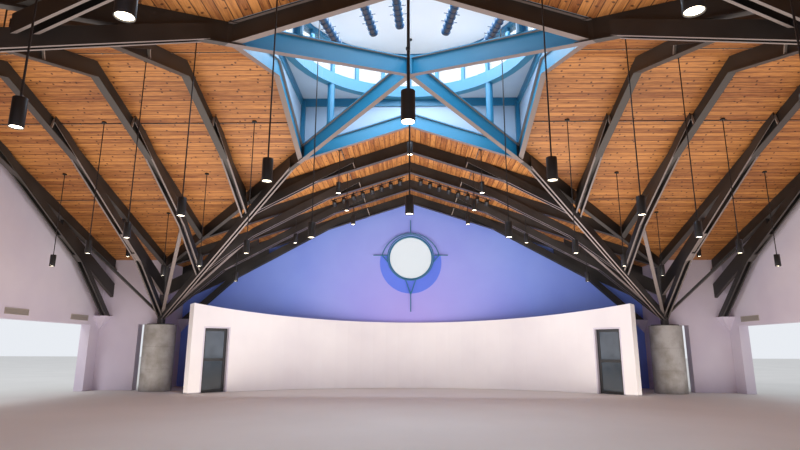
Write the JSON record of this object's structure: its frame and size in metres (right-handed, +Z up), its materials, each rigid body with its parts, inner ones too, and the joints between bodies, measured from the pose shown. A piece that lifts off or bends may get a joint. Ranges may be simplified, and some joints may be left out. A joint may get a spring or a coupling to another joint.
{
  "type": "cross-gabled church roof",
  "caption": "Cross-gabled church roof with a timber deck and a glazed lantern over the crossing, on branching steel trees, round piers and gable walls with wide low openings.",
  "frame": {"origin": "on the ground at the middle of the crossing, under the lantern's axis", "axes": "+Z up, +Y towards the gable wall with the round window, +X to the right when facing it"},
  "size_m": [22.3, 22.3, 9.2306],
  "materials": {
    "concrete": "fair-faced concrete",
    "dark_steel": "dark bronze paint",
    "blue_steel": "satin blue paint",
    "timber": "clear-finished knotty pine boards",
    "roofing": "grey sheet roofing",
    "plaster": "matt painted plaster",
    "blue_plaster": "matt blue painted plaster",
    "white_board": "matt white board",
    "pale_board": "matt pale blue board",
    "glass": "clear",
    "black_metal": "satin black paint"
  },
  "bodies": {
    "root": {"pier_ne": "concrete", "tree_ne": "dark_steel", "valley_beam_ne": "dark_steel", "corner_wall_ne": "plaster", "pier_nw": "concrete", "tree_nw": "dark_steel", "valley_beam_nw": "dark_steel", "corner_wall_nw": "plaster", "pier_sw": "concrete", "tree_sw": "dark_steel", "valley_beam_sw": "dark_steel", "corner_wall_sw": "plaster", "pier_se": "concrete", "tree_se": "dark_steel", "valley_beam_se": "dark_steel", "corner_wall_se": "plaster", "frame_1_north": "dark_steel", "frame_2_north": "dark_steel", "frame_3_north": "dark_steel", "end_frame_north": "dark_steel", "deck_north": "timber", "roof_covering_north": "roofing", "gable_wall_north": "blue_plaster", "frame_1_west": "dark_steel", "frame_2_west": "dark_steel", "frame_3_west": "dark_steel", "end_frame_west": "dark_steel", "deck_west": "timber", "roof_covering_west": "roofing", "gable_wall_west": "plaster", "frame_1_south": "dark_steel", "frame_2_south": "dark_steel", "frame_3_south": "dark_steel", "end_frame_south": "dark_steel", "deck_south": "timber", "roof_covering_south": "roofing", "gable_wall_south": "plaster", "frame_1_east": "dark_steel", "frame_2_east": "dark_steel", "frame_3_east": "dark_steel", "end_frame_east": "dark_steel", "deck_east": "timber", "roof_covering_east": "roofing", "gable_wall_east": "plaster", "screen_wall": "plaster", "lantern_curb": "blue_steel", "lantern_frame": "blue_steel", "lantern_upstand": "pale_board", "lantern_soffit": "pale_board", "drum_frame": "blue_steel", "drum_glass": "glass", "lantern_ceiling": "white_board", "lantern_roof": "roofing", "round_window_frame": "blue_steel", "round_window_glass": "glass", "wall_cross": "blue_steel", "ridge_pendant": "black_metal"}
  },
  "joints": []
}
